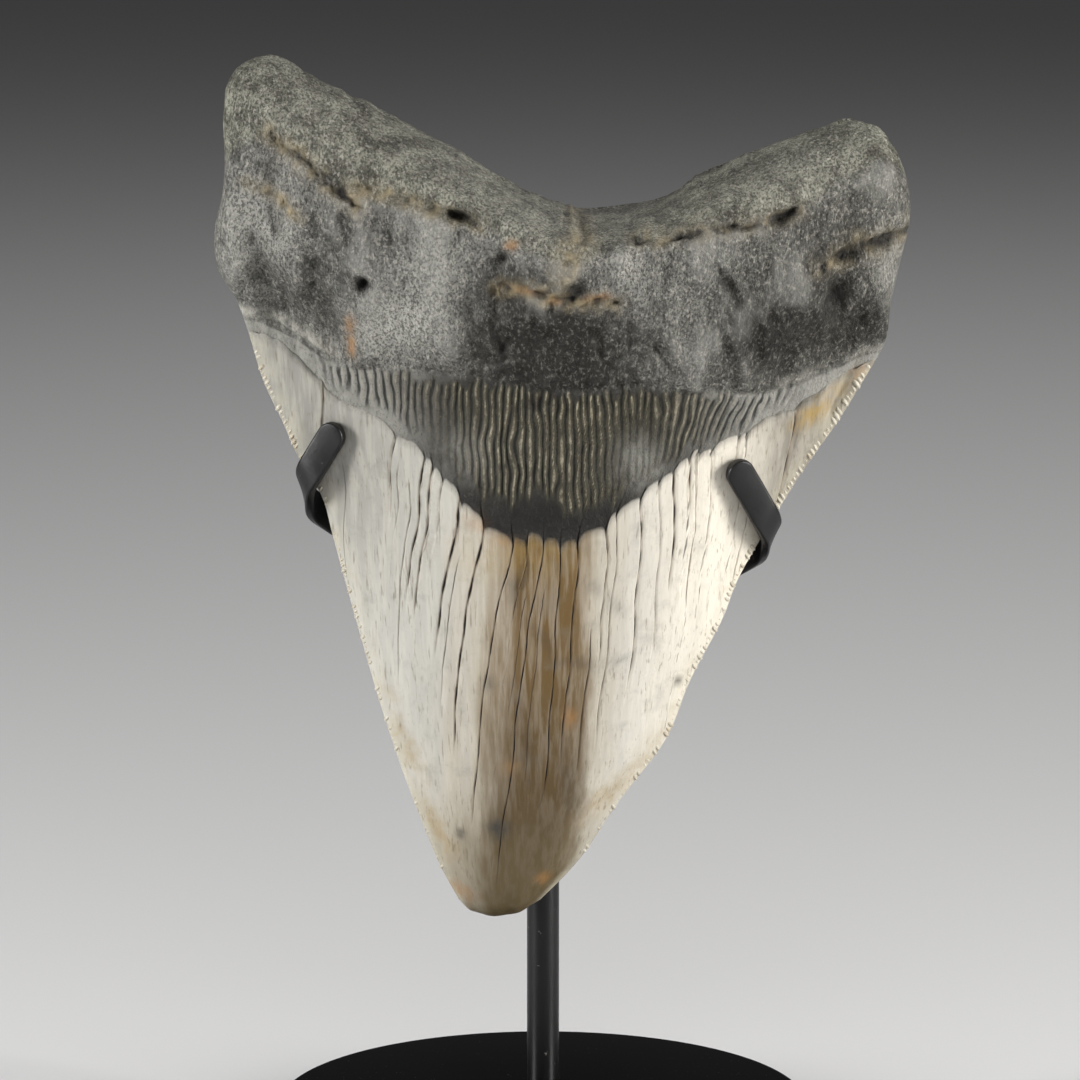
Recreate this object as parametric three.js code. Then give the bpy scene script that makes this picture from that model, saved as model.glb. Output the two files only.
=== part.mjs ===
// A fossil megalodon tooth on a display stand: the tooth, two bent steel prong arms, an upright rod, a round base and
// the felt under it. Millimetres, +Z up. The origin is the middle of the felt's underside, and the tooth's inner face,
// which shows the root's bulge, looks along -Y.
import * as THREE from "three";

// Stand
const ROD_DIAMETER = 5.2;
const ROD_TOP = 130;
const ROD_SOCKET_DEPTH = 6;
const SOCKET_CLEARANCE = 0.15;
const BASE_RADIUS = 43.5;
const BASE_THICKNESS = 8;
const BASE_CHAMFER = 0.9;
const FELT_RADIUS = 42;
const FELT_THICKNESS = 1;
const STRIP_WIDTH = 4.6;
const STRIP_THICKNESS = 1.5;
const ROUND_SEGMENTS = 72;
const ROD_SEGMENTS = 28;
const BASE_TOP = FELT_THICKNESS + BASE_THICKNESS;

// The tooth's own frame: across to the right, up from the tip, and out of the inner face towards the viewer.
const TIP_ACROSS = -8.1;
const TIP_ABOVE_BASE = 32.2;
const EDGE_PLANE = -8.2;

// Where the crown ends and the root begins, as a share of the way from the tip to the root's top.
const NECK = 0.7;

// The tooth's outline, as four borders that meet at corners: [across, up].
const LEFT_CUTTING_EDGE = [
  [-5.4, 2.9], [-8.8, 9.5], [-13.8, 22.6], [-18, 35.7], [-21.6, 48.7], [-25, 61.5], [-26.8, 68.4], [-30.3, 74.4],
  [-33.1, 80.8], [-36, 87.1], [-38, 94],
];
const LEFT_ROOT_SIDE = [
  [-38, 94], [-40, 99.9], [-42.9, 105.3], [-43.3, 111], [-42.1, 116.5], [-41.6, 122], [-41.8, 128], [-41.4, 133.2],
];
const RIGHT_CUTTING_EDGE = [
  [7.7, 2.9], [13.9, 9.5], [20.4, 19.3], [27.6, 29.2], [31.5, 38.9], [36.5, 48.7], [39.6, 56.5], [48.2, 71.2],
  [54.7, 80.8], [60.6, 90.6],
];
const RIGHT_ROOT_SIDE = [
  [60.6, 90.6], [62.1, 94.2], [62.7, 99.9], [64, 106.2], [65.4, 112.5], [65.2, 118], [63.4, 123.4],
];
const TIP_ARC = [[-5.4, 2.9], [-3.1, 0.9], [0.6, 0], [4.3, 0.7], [7.7, 2.9]];
const ROOT_TOP = [
  [-41.4, 133.2], [-39.8, 136.4], [-36.3, 138], [-33.2, 137.7], [-27.5, 134.7], [-18.1, 129.9], [-8.8, 124.6],
  [3.8, 117.5], [10, 114.9], [15, 114], [25.7, 115.5], [35.1, 120.5], [44.5, 124.3], [54, 127.6], [57.6, 127.8],
  [60.8, 126.5], [63.4, 123.4],
];

// How far each face stands out from the plane of the cutting edges: [share of the way up, depth].
const FRONT_AT_MIDDLE = [
  [0, 1.2], [0.06, 3.2], [0.2, 6.2], [0.4, 8.8], [0.6, 10.4], [0.7, 11.2], [0.78, 14], [0.88, 18.5], [0.95, 19.5],
  [1, 18],
];
const FRONT_AT_LOBES = [
  [0, 1.2], [0.06, 3.2], [0.2, 6.2], [0.4, 8.8], [0.6, 10.4], [0.7, 10.8], [0.78, 12.2], [0.88, 14], [0.95, 13.5],
  [1, 12],
];
const BACK_DEPTH = [[0, 1], [0.06, 1.6], [0.3, 2.8], [0.5, 3.8], [0.7, 4.8], [0.85, 6.2], [1, 5.6]];
const ROOT_MIDDLE = 0.53;
const BULGE_WIDTH = 0.2;
const TIP_SWEEP = 1.2;
const SIDE_SHIFT = 1.5;
const TOP_SHIFT = 3.5;
const TIP_ROUNDING = 0.025;
const RIDGE_AT_LOBES = 0.92;
const RIDGE_RISE_AT_MIDDLE = 0.045;
const RIDGE_ROUNDNESS = 1.8;
const BACK_ROUNDING_FROM = 0.9;

const COLUMNS = 42;
const CROWN_ROWS = 18;
const ROOT_ROWS = 12;
const TOP_ROWS = 8;

// Each prong arm's centre line, [across, up, out] in the tooth's frame, then the way its outer face looks, in degrees:
// 0 is to the back, 90 away from the tooth's edge and 180 to the front.
const LEFT_ARM = [
  [10.2, 47.6, -4.55, 0], [5, 49.8, -4.55, 0], [-8, 55.6, -4.4, 2], [-18, 60.2, -4.1, 6], [-23.3, 63.1, -3.9, 12],
  [-26.4, 65.2, -3.4, 24], [-28, 66.6, -2.4, 48], [-28.9, 68.3, -1, 75], [-29.3, 70, 0.5, 95], [-29.2, 71.6, 1.7, 115],
  [-28.5, 73.2, 2.7, 136], [-27.3, 75.2, 3.3, 145], [-25.7, 77.9, 4, 145], [-24, 80.7, 5.1, 145],
];
const RIGHT_ARM = [
  [6, 39.6, -4.55, 0], [11, 41.9, -4.55, 0], [22, 47.6, -4.4, 2], [32, 53.2, -4.2, 6], [37.4, 56.6, -4, 12],
  [40.9, 58.7, -3.6, 22], [42.5, 59.9, -2.6, 45], [43.6, 61.3, -0.9, 75], [44.1, 63, 1, 100], [43.6, 64.8, 2.6, 128],
  [42.7, 66.6, 3.7, 148], [41.3, 69.2, 4.4, 152], [39.6, 72.2, 5.4, 152], [38, 75.1, 6.6, 152],
];
const ARM_STEPS = 40;
const TIP_STEPS = 6;

const paint = (color, roughness, metalness) => new THREE.MeshStandardMaterial({ color, roughness, metalness });
const fossil = paint(0x7c7a72, 0.6, 0);
const blackSteel = paint(0x17171a, 0.45, 0.3);
const gloss = paint(0x080808, 0.2, 0.2);
const felt = paint(0x0d0d0d, 0.95, 0);

const smooth = (from, to, x) => THREE.MathUtils.smoothstep(x, from, to);
const bell = (x, middle, width) => Math.exp(-(((x - middle) / width) ** 2));

// A value read from [place, value] pairs along a smooth curve through them.
function along(pairs, place) {
  const last = pairs.length - 1;
  if (place <= pairs[0][0]) return pairs[0][1];
  if (place >= pairs[last][0]) return pairs[last][1];
  const i = pairs.findIndex((pair) => pair[0] > place) - 1;
  const slope = (a, b) => (pairs[b][1] - pairs[a][1]) / (pairs[b][0] - pairs[a][0]);
  const step = pairs[i + 1][0] - pairs[i][0];
  const x = (place - pairs[i][0]) / step;
  const slopeIn = slope(Math.max(i - 1, 0), i + 1) * step;
  const slopeOut = slope(i, Math.min(i + 2, last)) * step;
  const rise = pairs[i + 1][1] - pairs[i][1];
  return (
    pairs[i][1] + slopeIn * x + (3 * rise - 2 * slopeIn - slopeOut) * x * x + (slopeIn + slopeOut - 2 * rise) * x ** 3
  );
}

const border = (points) => new THREE.SplineCurve(points.map(([x, y]) => new THREE.Vector2(x, y)));
const tipArc = border(TIP_ARC);
const rootTop = border(ROOT_TOP);
const cuttingEdge = { left: border(LEFT_CUTTING_EDGE), right: border(RIGHT_CUTTING_EDGE) };
const rootSide = { left: border(LEFT_ROOT_SIDE), right: border(RIGHT_ROOT_SIDE) };

function sideBorder(side, up) {
  return up <= NECK
    ? cuttingEdge[side].getPointAt(up / NECK)
    : rootSide[side].getPointAt((up - NECK) / (1 - NECK));
}

// The place in the plane of the edges for a share across (0 left, 1 right) and a share up (0 tip, 1 root's top): a Coons
// patch of the four borders.
function placeInPlane(across, up) {
  const corner = (curve, end) => curve.getPointAt(end);
  const sum = new THREE.Vector2();
  const add = (point, weight) => sum.addScaledVector(point, weight);
  add(sideBorder("left", up), 1 - across);
  add(sideBorder("right", up), across);
  add(tipArc.getPointAt(across), 1 - up);
  add(rootTop.getPointAt(across), up);
  add(corner(tipArc, 0), -(1 - across) * (1 - up));
  add(corner(tipArc, 1), -across * (1 - up));
  add(corner(rootTop, 0), -(1 - across) * up);
  add(corner(rootTop, 1), -across * up);
  return sum;
}

// The depth where the front and back faces meet: the edge plane on the crown, and a little off it round the root.
function rimDepth(off, up) {
  const sweep = -TIP_SWEEP * Math.max(0, 1 - up / NECK) ** 2;
  const sides = SIDE_SHIFT * smooth(NECK, 0.8, up) * off * off;
  const top = -TOP_SHIFT * smooth(0.85, 1, up) * (1 - off * off);
  return sweep + sides + top;
}

// How full a face is at a share off the middle line (0 middle, 1 edge): a lens on the crown, a round-sided block on the
// root.
function fullness(off, up, lens) {
  const toRoot = smooth(NECK - 0.04, NECK + 0.08, up);
  const power = THREE.MathUtils.lerp(lens, 3.2, toRoot);
  return Math.max(0, 1 - Math.abs(off) ** power) ** THREE.MathUtils.lerp(1, 0.5, toRoot);
}

function roundedPast(start, up, roundness) {
  const x = Math.min(1, Math.max(0, (up - start) / (1 - start)));
  return Math.max(0, 1 - x ** roundness) ** (1 / roundness);
}

const tipRounding = (up) => (up < TIP_ROUNDING ? Math.sqrt(1 - (1 - up / TIP_ROUNDING) ** 2) : 1);

function frontDepth(across, up) {
  const off = 2 * across - 1;
  const bulge = bell(across, ROOT_MIDDLE, BULGE_WIDTH);
  const full = THREE.MathUtils.lerp(along(FRONT_AT_LOBES, up), along(FRONT_AT_MIDDLE, up), bulge);
  const ridge = RIDGE_AT_LOBES + RIDGE_RISE_AT_MIDDLE * bell(across, ROOT_MIDDLE, 0.25);
  const rim = rimDepth(off, up);
  return rim + (full - rim) * fullness(off, up, 1.9) * roundedPast(ridge, up, RIDGE_ROUNDNESS) * tipRounding(up);
}

function backDepth(across, up) {
  const off = 2 * across - 1;
  const rim = rimDepth(off, up);
  const full = along(BACK_DEPTH, up) + rim;
  return rim - full * fullness(off, up, 2.4) * roundedPast(BACK_ROUNDING_FROM, up, 2) * tipRounding(up);
}

const inPart = (place, out) =>
  new THREE.Vector3(TIP_ACROSS + place.x, EDGE_PLANE - out, BASE_TOP + TIP_ABOVE_BASE + place.y);

// Shares from start to end in equal steps, packed closer towards the end when it is rounded.
function steps(start, end, count, rounded = false) {
  return Array.from({ length: count }, (_, i) => {
    const x = (i + 1) / count;
    return start + (end - start) * (rounded ? Math.sin((x * Math.PI) / 2) : x);
  });
}

// The closed surface from a grid of points on each face. The two faces share their rim.
function toothGeometry() {
  const columns = Array.from({ length: COLUMNS + 1 }, (_, i) => (1 + Math.sin((i / COLUMNS - 0.5) * Math.PI)) / 2);
  const rows = [
    0,
    0.003,
    0.01,
    TIP_ROUNDING,
    ...steps(TIP_ROUNDING, NECK, CROWN_ROWS),
    ...steps(NECK, RIDGE_AT_LOBES, ROOT_ROWS),
    ...steps(RIDGE_AT_LOBES, 1, TOP_ROWS, true),
  ];
  const positions = [];
  const index = [];
  const faceGrid = (depth, turned) => {
    const grid = rows.map((up) =>
      columns.map((across) => {
        positions.push(...inPart(placeInPlane(across, up), depth(across, up)).toArray());
        return positions.length / 3 - 1;
      }),
    );
    for (let j = 0; j + 1 < rows.length; j++) {
      for (let i = 0; i < COLUMNS; i++) {
        const [a, b, c, d] = [grid[j][i], grid[j][i + 1], grid[j + 1][i + 1], grid[j + 1][i]];
        index.push(...(turned ? [a, c, b, a, d, c] : [a, b, c, a, c, d]));
      }
    }
  };
  faceGrid(frontDepth, false);
  faceGrid(backDepth, true);
  const geometry = new THREE.BufferGeometry();
  geometry.setAttribute("position", new THREE.Float32BufferAttribute(positions, 3));
  geometry.setIndex(index);
  geometry.computeVertexNormals();
  return geometry;
}

// A flat steel strip bent along a path, square at its first end and round at its last.
function stripGeometry(points, awayFromTooth) {
  const path = new THREE.CatmullRomCurve3(
    points.map(([x, y, out]) => inPart(new THREE.Vector2(x, y), out)),
    false,
    "centripetal",
  );
  const turns = points.map((point, i) => [i, point[3]]);
  const half = STRIP_WIDTH / 2;
  const length = path.getLength();
  const stations = [
    0,
    ...steps(0, length - half, ARM_STEPS),
    ...steps(length - half, length, TIP_STEPS, true),
  ];
  const positions = [];
  for (const station of stations) {
    const share = station / length;
    const centre = path.getPointAt(share);
    const tangent = path.getTangentAt(share);
    const turn = THREE.MathUtils.degToRad(along(turns, path.getUtoTmapping(share) * (points.length - 1)));
    const outer = new THREE.Vector3(0, Math.cos(turn), 0).addScaledVector(awayFromTooth, Math.sin(turn));
    outer.addScaledVector(tangent, -outer.dot(tangent)).normalize();
    const side = new THREE.Vector3().crossVectors(tangent, outer);
    const past = Math.max(0, station - (length - half)) / half;
    const halfWidth = half * Math.max(0.1, Math.sqrt(Math.max(0, 1 - past * past)));
    for (const [across, out] of [[-1, -1], [1, -1], [1, 1], [-1, 1]]) {
      const corner = centre.clone().addScaledVector(side, across * halfWidth);
      positions.push(...corner.addScaledVector(outer, (out * STRIP_THICKNESS) / 2).toArray());
    }
  }
  const index = [0, 1, 2, 0, 2, 3];
  const last = positions.length / 3 - 4;
  index.push(last, last + 2, last + 1, last, last + 3, last + 2);
  for (let ring = 0; ring < last; ring += 4) {
    for (let k = 0; k < 4; k++) {
      const next = (k + 1) % 4;
      index.push(ring + k, ring + 4 + k, ring + 4 + next, ring + k, ring + 4 + next, ring + next);
    }
  }
  const geometry = new THREE.BufferGeometry();
  geometry.setAttribute("position", new THREE.Float32BufferAttribute(positions, 3));
  geometry.setIndex(index);
  geometry.computeVertexNormals();
  return geometry;
}

// A round solid turned about the Z axis, from its [radius, height] profile.
function turned(profile, segments) {
  const geometry = new THREE.LatheGeometry(profile.map(([r, z]) => new THREE.Vector2(r, z)), segments);
  return geometry.rotateX(Math.PI / 2);
}

function rodGeometry() {
  const radius = ROD_DIAMETER / 2;
  const dome = Array.from({ length: 5 }, (_, i) => {
    const angle = (i * Math.PI) / 8;
    return [radius * Math.cos(angle), ROD_TOP - radius + radius * Math.sin(angle)];
  });
  dome[4][0] = 0;
  const foot = BASE_TOP - ROD_SOCKET_DEPTH;
  return turned([[0, foot], [radius, foot], ...dome], ROD_SEGMENTS);
}

function baseGeometry() {
  const socket = ROD_DIAMETER / 2 + SOCKET_CLEARANCE;
  const socketFloor = BASE_TOP - ROD_SOCKET_DEPTH - SOCKET_CLEARANCE;
  return turned(
    [
      [0, FELT_THICKNESS],
      [BASE_RADIUS - BASE_CHAMFER, FELT_THICKNESS],
      [BASE_RADIUS, FELT_THICKNESS + BASE_CHAMFER],
      [BASE_RADIUS, BASE_TOP - BASE_CHAMFER],
      [BASE_RADIUS - BASE_CHAMFER, BASE_TOP],
      [socket, BASE_TOP],
      [socket, socketFloor],
      [0, socketFloor],
    ],
    ROUND_SEGMENTS,
  );
}

function feltGeometry() {
  return turned([[0, 0], [FELT_RADIUS, 0], [FELT_RADIUS, FELT_THICKNESS], [0, FELT_THICKNESS]], ROUND_SEGMENTS);
}

function piece(name, geometry, material) {
  const mesh = new THREE.Mesh(geometry, material);
  mesh.name = name;
  return mesh;
}

const displayedTooth = new THREE.Group();
displayedTooth.add(
  piece("tooth", toothGeometry(), fossil),
  piece("arm_left", stripGeometry(LEFT_ARM, new THREE.Vector3(-0.92, 0, -0.38)), blackSteel),
  piece("arm_right", stripGeometry(RIGHT_ARM, new THREE.Vector3(0.87, 0, -0.5)), blackSteel),
  piece("rod", rodGeometry(), blackSteel),
  piece("base", baseGeometry(), gloss),
  piece("base_felt", feltGeometry(), felt),
);

export default displayedTooth;
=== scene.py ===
# A fossil megalodon tooth held by two prong arms on an upright rod with a round base. Metres; the tooth's
# inner face, with the root's bulge and the ribbed collar, looks along -Y.
import math

import bpy
import numpy as np
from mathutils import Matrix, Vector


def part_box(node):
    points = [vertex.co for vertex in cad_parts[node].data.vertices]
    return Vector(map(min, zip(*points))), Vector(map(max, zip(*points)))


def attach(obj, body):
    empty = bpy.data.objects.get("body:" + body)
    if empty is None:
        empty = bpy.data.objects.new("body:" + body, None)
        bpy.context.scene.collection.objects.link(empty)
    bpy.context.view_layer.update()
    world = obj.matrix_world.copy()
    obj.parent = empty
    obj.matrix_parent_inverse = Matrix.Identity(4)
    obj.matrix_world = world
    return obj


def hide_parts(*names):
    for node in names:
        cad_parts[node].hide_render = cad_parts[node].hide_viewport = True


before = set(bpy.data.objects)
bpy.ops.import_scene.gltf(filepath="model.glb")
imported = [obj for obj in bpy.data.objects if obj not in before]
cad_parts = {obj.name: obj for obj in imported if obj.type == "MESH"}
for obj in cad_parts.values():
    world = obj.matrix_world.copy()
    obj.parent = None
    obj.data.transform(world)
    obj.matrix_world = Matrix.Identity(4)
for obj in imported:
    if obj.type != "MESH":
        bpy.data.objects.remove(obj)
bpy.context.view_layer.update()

MM = 0.001


# ---- Felt under the base
# A disc of thin black felt, glued to the underside of the base. Its cut edge is a little soft and fuzzy.


def closed_by_turning(name, profile, steps):
    """A round piece from its [radius, height] outline in millimetres, which starts and ends on the axis."""
    verts, rings = [], []
    for radius, height in profile:
        if radius < 1e-6:
            rings.append([len(verts)] * steps)
            verts.append((0, 0, height * MM))
            continue
        rings.append(list(range(len(verts), len(verts) + steps)))
        for turn in np.arange(steps) * 2 * math.pi / steps:
            verts.append((radius * math.cos(turn) * MM, radius * math.sin(turn) * MM, height * MM))
    faces = []
    for low, high in zip(rings, rings[1:]):
        for i in range(steps):
            j = (i + 1) % steps
            face = [low[i], low[j], high[j], high[i]]
            faces.append([v for n, v in enumerate(face) if v not in face[:n]])
    return placed(name, verts, faces)


def placed(name, verts, faces, edges=()):
    """A smooth-shaded object at the origin from points in metres."""
    mesh = bpy.data.meshes.new(name)
    mesh.from_pydata(np.asarray(verts).tolist(), list(edges), faces)
    mesh.shade_smooth()
    piece = bpy.data.objects.new(name, mesh)
    bpy.context.scene.collection.objects.link(piece)
    return piece


class Wire:
    """One output of a node. A sum, product or power of wires adds the Math nodes that work it out."""

    def __init__(self, tree, socket):
        self.tree = tree
        self.socket = socket

    def math(self, operation, *values):
        return self.tree.node("ShaderNodeMath", {"operation": operation}, dict(enumerate(values)))

    def __add__(self, other):
        return self.math("ADD", self, other)

    def __sub__(self, other):
        return self.math("SUBTRACT", self, other)

    def __rsub__(self, other):
        return self.math("SUBTRACT", other, self)

    def __mul__(self, other):
        return self.math("MULTIPLY", self, other)

    def __truediv__(self, other):
        return self.math("DIVIDE", self, other)

    def __pow__(self, other):
        return self.math("POWER", self, other)

    def cosine(self):
        return self.math("COSINE", self)

    __radd__ = __add__
    __rmul__ = __mul__

    def least(self, other):
        return self.math("MINIMUM", self, other)

    def rises(self, start, end):
        """0 up to start, 1 from end on, and smooth between."""
        limits = {"Value": self, "From Min": start, "From Max": end}
        return self.tree.node("ShaderNodeMapRange", {"interpolation_type": "SMOOTHSTEP"}, limits)


class Tree:
    """A node tree that is being built, for a finish or for a shape."""

    def __init__(self, nodes_and_links):
        self.made = nodes_and_links

    def node(self, kind, settings=(), inputs=(), out=0):
        """A new node: its settings first, then its sockets' values or wires. Gives its output number out."""
        made = self.made.nodes.new(kind)
        for key, value in dict(settings).items():
            setattr(made, key, value)
        for key, value in dict(inputs).items():
            by_identifier = [s for s in made.inputs if s.identifier == key]
            socket = by_identifier[0] if by_identifier else made.inputs[key]
            if isinstance(value, Wire):
                self.made.links.new(value.socket, socket)
            else:
                socket.default_value = value
        return Wire(self, made.outputs[out]) if len(made.outputs) else None

    def blend(self, share, under, over):
        """The colour over on the colour under, by share."""
        colours = {"Factor_Float": share, "A_Color": opaque(under), "B_Color": opaque(over)}
        return self.node("ShaderNodeMix", {"data_type": "RGBA"}, colours, out=2)

    def coats(self, colour, *layers):
        """Further colours over the first, each with its share."""
        for share, over in layers:
            colour = self.blend(share, colour, over)
        return colour

    def noise(self, per_metre, detail=3.0, roughness=0.55, seed=0.0, stretch=(1, 1, 1), place=None):
        """Smooth random values about 0.5, with so many lumps in a metre. A small stretch draws them out."""
        place = place or self.place
        if stretch != (1, 1, 1):
            place = self.node("ShaderNodeVectorMath", {"operation": "MULTIPLY"}, {0: place, 1: stretch})
        sockets = {"Vector": place, "W": seed, "Scale": per_metre, "Detail": detail, "Roughness": roughness}
        return self.node("ShaderNodeTexNoise", {"noise_dimensions": "4D"}, sockets)

    def attribute(self, name, out=2):
        return self.node("ShaderNodeAttribute", {"attribute_name": name}, out=out)


def opaque(colour):
    return colour if isinstance(colour, Wire) else (*colour, 1.0)


def shade(red, green, blue):
    """A colour as it looks on screen, 0 to 255, as the shader's linear values."""
    seen = [c / 255 for c in (red, green, blue)]
    return tuple(c / 12.92 if c <= 0.04 else ((c + 0.055) / 1.055) ** 2.4 for c in seen)


class Finish(Tree):
    """A material: colours, roughness and relief go to one Principled shader, and plain numbers on it."""

    def __init__(self, name):
        self.material = bpy.data.materials.new(name)
        self.material.use_nodes = True
        super().__init__(self.material.node_tree)
        self.shader = self.made.nodes["Principled BSDF"]
        self.place = self.node("ShaderNodeTexCoord", out=3)

    def set(self, **sockets):
        for key, value in sockets.items():
            socket = self.shader.inputs[key.replace("_", " ")]
            if isinstance(value, Wire):
                self.made.links.new(value.socket, socket)
            else:
                socket.default_value = opaque(value) if isinstance(value, tuple) else value

    def relief(self, height, depth, strength=1.0, under=None):
        """A Bump node: height 0 to 1 stands depth metres high."""
        sockets = {"Height": height, "Distance": depth, "Strength": strength}
        if under is not None:
            sockets["Normal"] = under
        return self.node("ShaderNodeBump", (), sockets)

    def give(self, piece):
        piece.data.materials.clear()
        piece.data.materials.append(self.material)


def mark(piece, name, values, kind="FLOAT"):
    """Store one value or vector for each point of the piece."""
    stored = piece.data.attributes.new(name, kind, "POINT").data
    stored.foreach_set("value" if kind == "FLOAT" else "vector", np.ravel(values).astype(np.float32))


def finished(piece, node=None):
    """The piece rides on the one body and may stand for a CAD node."""
    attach(piece, "root")
    if node:
        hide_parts(node)


FELT_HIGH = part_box("base_felt")[1]
FELT_RADIUS = FELT_HIGH[0] / MM
FELT_TOP = FELT_HIGH[2] / MM
FELT_EASE = 0.4
felt_edge = []
for a in np.linspace(0, math.pi, 7):
    felt_edge.append((FELT_RADIUS - FELT_EASE * (1 - math.sin(a)), FELT_TOP * (1 - math.cos(a)) / 2))
felt_pad = closed_by_turning("felt_pad", [(0, 0), *felt_edge, (0, FELT_TOP)], 96)
fibres = Finish("black_felt")
fuzz = fibres.noise(2600, detail=4, roughness=0.7)
tufts = fibres.noise(420, seed=3)
fibres.set(
    Base_Color=fibres.blend(fuzz * tufts * 2, shade(14, 14, 15), shade(44, 43, 42)),
    Roughness=1.0,
    Normal=fibres.relief(fuzz, 0.0004),
)
fibres.give(felt_pad)
finished(felt_pad, "base_felt")


# ---- Base
# A round steel disc, turned on a lathe, with a small bevel round its rim. It is sprayed gloss black and
# polished, and has caught a little dust. The rod stands in a socket in its middle.

base_low, base_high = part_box("base")
BASE_RADIUS = base_high[0] / MM
BASE_FOOT, BASE_TOP = base_low[2] / MM, base_high[2] / MM
RIM_BEVEL = 0.9
RIM_BLEND = 0.25
SOCKET_RADIUS = 2.75
SOCKET_FLOOR = BASE_TOP - 6.15


def eased_corners(points, radius, steps=5):
    """The outline with each corner but the two end points rounded off."""
    line = [points[0]]
    for before, corner, after in zip(points, points[1:], points[2:]):
        before, corner, after = np.array(before), np.array(corner), np.array(after)
        back = (before - corner) / np.linalg.norm(before - corner)
        on = (after - corner) / np.linalg.norm(after - corner)
        for x in np.linspace(0, 1, steps):
            line.append(tuple(corner + back * radius * (1 - x) ** 2 + on * radius * x**2))
    return [*line, points[-1]]


base_outline = [
    (0, BASE_FOOT),
    (BASE_RADIUS - RIM_BEVEL, BASE_FOOT),
    (BASE_RADIUS, BASE_FOOT + RIM_BEVEL),
    (BASE_RADIUS, BASE_TOP - RIM_BEVEL),
    (BASE_RADIUS - RIM_BEVEL, BASE_TOP),
    (SOCKET_RADIUS, BASE_TOP),
    (SOCKET_RADIUS, SOCKET_FLOOR),
    (0, SOCKET_FLOOR),
]
round_base = closed_by_turning("round_base", eased_corners(base_outline, RIM_BLEND), 180)
gloss = Finish("gloss_black_enamel")
orange_peel = gloss.noise(300, detail=2)
dust = gloss.noise(2300, detail=2, seed=5).rises(0.69, 0.75)
dust_drift = gloss.noise(90, detail=3, seed=9).rises(0.42, 0.68)
haze = gloss.noise(45, detail=4, seed=2)
gloss.set(
    Base_Color=gloss.blend(dust * dust_drift * 0.5, shade(3, 3, 3), shade(110, 108, 102)),
    Roughness=0.08 + haze * 0.08 + dust * 0.3,
    Normal=gloss.relief(orange_peel, 0.00002, under=gloss.relief(dust * dust_drift, 0.00005)),
    Specular_IOR_Level=0.2,
)
gloss.give(round_base)
finished(round_base, "base")


# ---- Rod
# An upright of round steel bar, pressed into the base. Its top is rounded, and it is sprayed satin black.

rod_low, rod_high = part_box("rod")
ROD_RADIUS = rod_high[0] / MM
ROD_FOOT, ROD_TOP = rod_low[2] / MM, rod_high[2] / MM
rod_dome = [
    (ROD_RADIUS * math.cos(a), ROD_TOP - ROD_RADIUS * (1 - math.sin(a)))
    for a in np.linspace(0, math.pi / 2, 10)
]
rod_shaft = [(ROD_RADIUS, z) for z in np.linspace(ROD_FOOT + 0.3, ROD_TOP - ROD_RADIUS - 1, 24)]
rod_foot = [(0, ROD_FOOT), (ROD_RADIUS - 0.3, ROD_FOOT)]
rod = closed_by_turning("upright_rod", [*rod_foot, *rod_shaft, *rod_dome[:-1], (0, ROD_TOP)], 48)
satin = Finish("satin_black_paint")
spray = satin.noise(1500, detail=3, roughness=0.6)
rubs = satin.noise(240, detail=5, seed=4, stretch=(1, 1, 0.35))
specks = satin.noise(1400, detail=1, seed=8).rises(0.74, 0.78)
satin.set(
    Base_Color=satin.coats(
        shade(10, 10, 11),
        (rubs.rises(0.5, 0.75), shade(20, 20, 20)),
        (specks * 0.45, shade(120, 118, 114)),
    ),
    Roughness=0.24 + spray * 0.14 + rubs * 0.08,
    Specular_IOR_Level=0.32,
    Normal=satin.relief(spray, 0.00003, under=satin.relief(specks, 0.00004)),
)
satin.give(rod)
finished(rod, "rod")


# ---- Prong arms
# Two strips of flat steel, square at the rod and round at the finger's end, bent round the tooth's edges.
# Each runs behind the tooth, turns round its edge and lies up its face. They are brazed to the rod, and
# sprayed with it.

STRIP_WIDTH = 4.6
STRIP_THICKNESS = 1.5
STRIP_EDGE = 0.38
ARM_STEPS = 150

TIP_ACROSS = -8.1
EDGE_PLANE = -8.2
TIP_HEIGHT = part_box("tooth")[0][2] / MM

# Each arm's centre line: [across, up, out] in the tooth's own frame, then the way its outer face looks, in
# degrees: 0 is to the back, 90 away from the tooth and 180 to the front.
LEFT_ARM = [
    (10.2, 47.6, -4.55, 0), (5, 49.8, -4.55, 0), (-8, 55.6, -4.4, 2), (-18, 60.2, -4.1, 6),
    (-23.3, 63.1, -3.9, 12), (-26.4, 65.2, -3.4, 24), (-28, 66.6, -2.4, 48), (-28.9, 68.3, -1, 75),
    (-29.3, 70, 0.5, 95), (-29.2, 71.6, 1.7, 115), (-28.5, 73.2, 2.7, 136), (-27.3, 75.2, 3.3, 145),
    (-25.7, 77.9, 4, 145), (-24, 80.7, 5.1, 145),
]
RIGHT_ARM = [
    (6, 39.6, -4.55, 0), (11, 41.9, -4.55, 0), (22, 47.6, -4.4, 2), (32, 53.2, -4.2, 6),
    (37.4, 56.6, -4, 12), (40.9, 58.7, -3.6, 22), (42.5, 59.9, -2.6, 45), (43.6, 61.3, -0.9, 75),
    (44.1, 63, 1, 100), (43.6, 64.8, 2.6, 128), (42.7, 66.6, 3.7, 148), (41.3, 69.2, 4.4, 152),
    (39.6, 72.2, 5.4, 152), (38, 75.1, 6.6, 152),
]


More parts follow.
